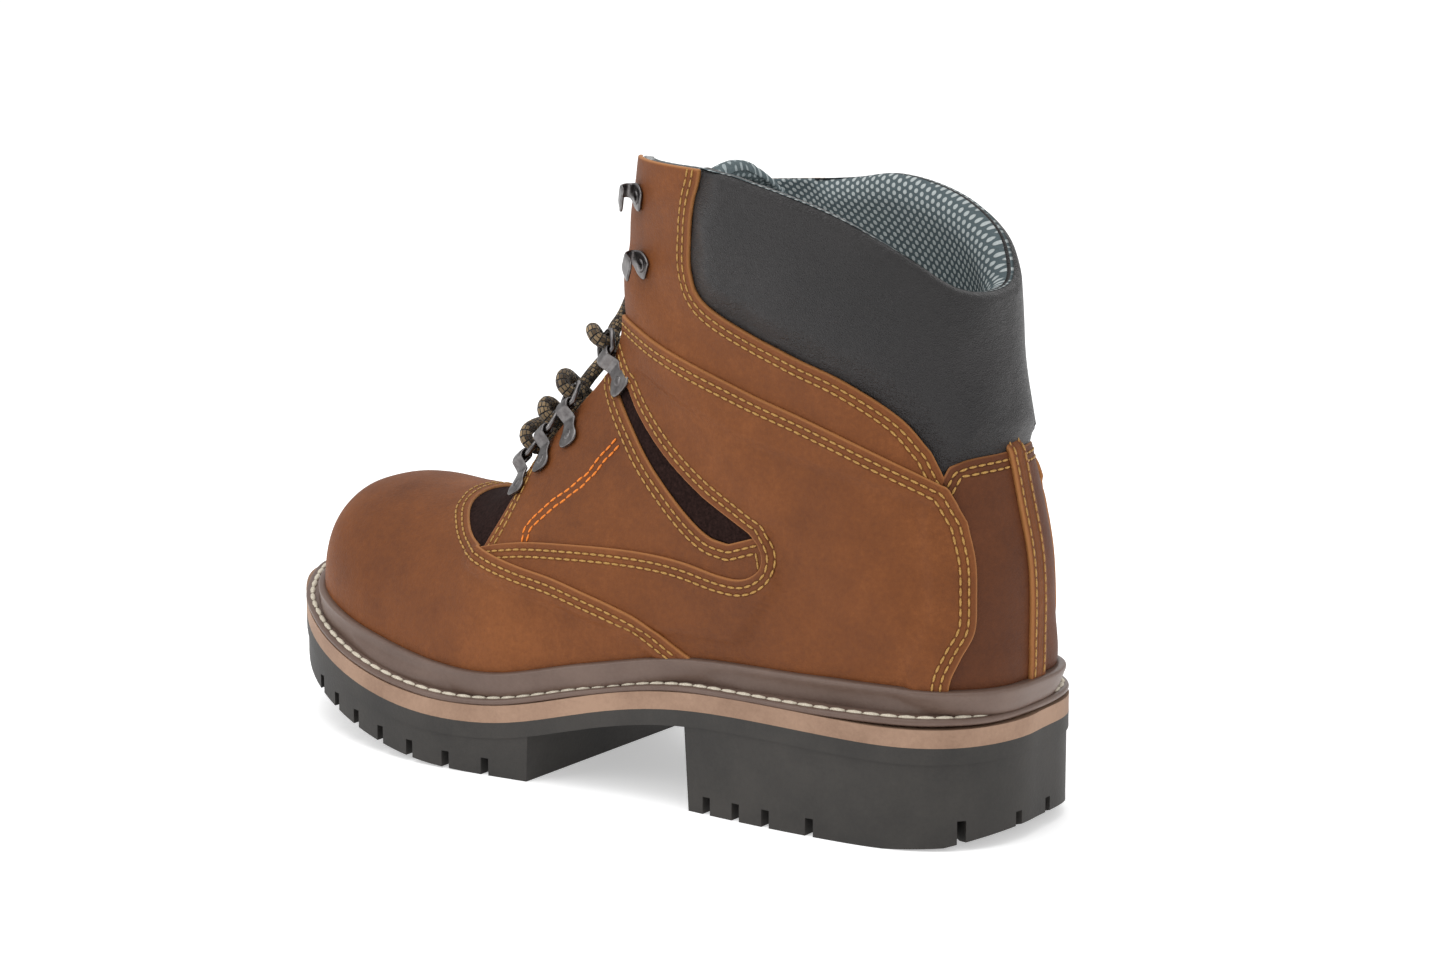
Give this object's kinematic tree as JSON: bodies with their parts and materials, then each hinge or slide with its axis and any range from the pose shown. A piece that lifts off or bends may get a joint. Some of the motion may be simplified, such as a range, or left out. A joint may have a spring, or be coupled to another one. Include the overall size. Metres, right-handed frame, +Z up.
{
  "type": "safety work boot",
  "caption": "Left ankle-high lace-up safety work boot with a steel toe cap, padded collar, speed rings and hooks, and a lugged rubber sole.",
  "frame": {"origin": "middle of the tread's footprint box, at floor level", "axes": "+X from heel to toe, +Y towards the outer side of the foot, +Z up"},
  "size_m": [0.3114, 0.105, 0.213],
  "materials": {
    "tan_leather": "oiled full grain",
    "black_textile": "woven suede-like textile",
    "collar_leather": "soft semi-gloss",
    "foam": "soft",
    "lining_mesh": "spacer mesh",
    "outsole_rubber": "matte",
    "midsole_rubber": "matte",
    "rand_rubber": "slightly glossy",
    "cork": "granular",
    "board": "stiff fibre board",
    "cap_steel": "pressed",
    "cap_strip": "soft",
    "lace_cord": "round woven cord",
    "aglet_plastic": "gloss",
    "gunmetal": "dark plated"
  },
  "bodies": {
    "boot": {"aglet_inner": "aglet_plastic", "aglet_outer": "aglet_plastic", "cap_edge_strip": "cap_strip", "clip_rivets_inner": "gunmetal", "clip_rivets_outer": "gunmetal", "collar_foam": "foam", "collar_leather": "collar_leather", "collar_lining": "lining_mesh", "cork_filler": "cork", "counter_leather": "tan_leather", "eyestay_inner": "tan_leather", "eyestay_outer": "tan_leather", "flex_insert_inner": "black_textile", "flex_insert_outer": "black_textile", "heel_counter": "board", "hook_rivets_inner": "gunmetal", "hook_rivets_outer": "gunmetal", "insole_board": "board", "interlining_inner": "foam", "interlining_outer": "foam", "lace": "lace_cord", "lace_hooks_inner": "gunmetal", "lace_hooks_outer": "gunmetal", "lace_tail_inner": "lace_cord", "lace_tail_outer": "lace_cord", "lining": "lining_mesh", "midsole": "midsole_rubber", "outsole": "outsole_rubber", "quarter_inner": "tan_leather", "quarter_outer": "tan_leather", "ring_clips_inner": "gunmetal", "ring_clips_outer": "gunmetal", "ring_facing_inner": "tan_leather", "ring_facing_outer": "tan_leather", "steel_shank": "cap_steel", "steel_toe_cap": "cap_steel", "storm_rand": "rand_rubber", "tongue": "lining_mesh", "vamp_insert": "black_textile", "vamp_leather": "tan_leather"},
    "lace_ring_outer_1": {"lace_ring_outer_1": "gunmetal"},
    "lace_ring_outer_2": {"lace_ring_outer_2": "gunmetal"},
    "lace_ring_outer_3": {"lace_ring_outer_3": "gunmetal"},
    "lace_ring_outer_4": {"lace_ring_outer_4": "gunmetal"},
    "lace_ring_inner_1": {"lace_ring_inner_1": "gunmetal"},
    "lace_ring_inner_2": {"lace_ring_inner_2": "gunmetal"},
    "lace_ring_inner_3": {"lace_ring_inner_3": "gunmetal"},
    "lace_ring_inner_4": {"lace_ring_inner_4": "gunmetal"},
    "footbed": {"footbed": "foam"}
  },
  "joints": [
    {"name": "lace_ring_outer_1_swing", "type": "hinge", "parent": "boot", "child": "lace_ring_outer_1", "pos_m": [0.03759, 0.021, 0.10547], "axis": [0.7793, -0.2959, -0.5524], "range_deg": [-25, 15], "deforming": ["lace"]},
    {"name": "lace_ring_outer_2_swing", "type": "hinge", "parent": "boot", "child": "lace_ring_outer_2", "pos_m": [0.0282, 0.02131, 0.11531], "axis": [0.7687, -0.2808, -0.5747], "range_deg": [-25, 15], "deforming": ["lace"]},
    {"name": "lace_ring_outer_3_swing", "type": "hinge", "parent": "boot", "child": "lace_ring_outer_3", "pos_m": [0.01812, 0.02175, 0.12538], "axis": [0.7996, -0.1854, -0.5712], "range_deg": [-25, 15], "deforming": ["lace"]},
    {"name": "lace_ring_outer_4_swing", "type": "hinge", "parent": "boot", "child": "lace_ring_outer_4", "pos_m": [0.00037, 0.02229, 0.14466], "axis": [0.6794, -0.1247, -0.7231], "range_deg": [-25, 15], "deforming": ["lace"]},
    {"name": "lace_ring_inner_1_swing", "type": "hinge", "parent": "boot", "child": "lace_ring_inner_1", "pos_m": [0.03661, -0.02157, 0.10172], "axis": [-0.8775, -0.2657, 0.3993], "range_deg": [-25, 15], "deforming": ["lace"]},
    {"name": "lace_ring_inner_2_swing", "type": "hinge", "parent": "boot", "child": "lace_ring_inner_2", "pos_m": [0.0263, -0.02194, 0.11003], "axis": [-0.8679, -0.2384, 0.4358], "range_deg": [-25, 15], "deforming": ["lace"]},
    {"name": "lace_ring_inner_3_swing", "type": "hinge", "parent": "boot", "child": "lace_ring_inner_3", "pos_m": [0.01505, -0.02227, 0.11935], "axis": [-0.8559, -0.1492, 0.4952], "range_deg": [-25, 15], "deforming": ["lace"]},
    {"name": "lace_ring_inner_4_swing", "type": "hinge", "parent": "boot", "child": "lace_ring_inner_4", "pos_m": [-0.00152, -0.02239, 0.14212], "axis": [-0.6475, -0.2062, 0.7337], "range_deg": [-25, 15], "deforming": ["lace"]},
    {"name": "footbed_lift", "type": "hinge", "parent": "boot", "child": "footbed", "pos_m": [0.133, 0, 0.045], "axis": [0, 1, 0], "range_deg": [0, 8], "deforming": ["lace_tail_outer", "lace_tail_inner", "aglet_outer", "aglet_inner"]}
  ]
}
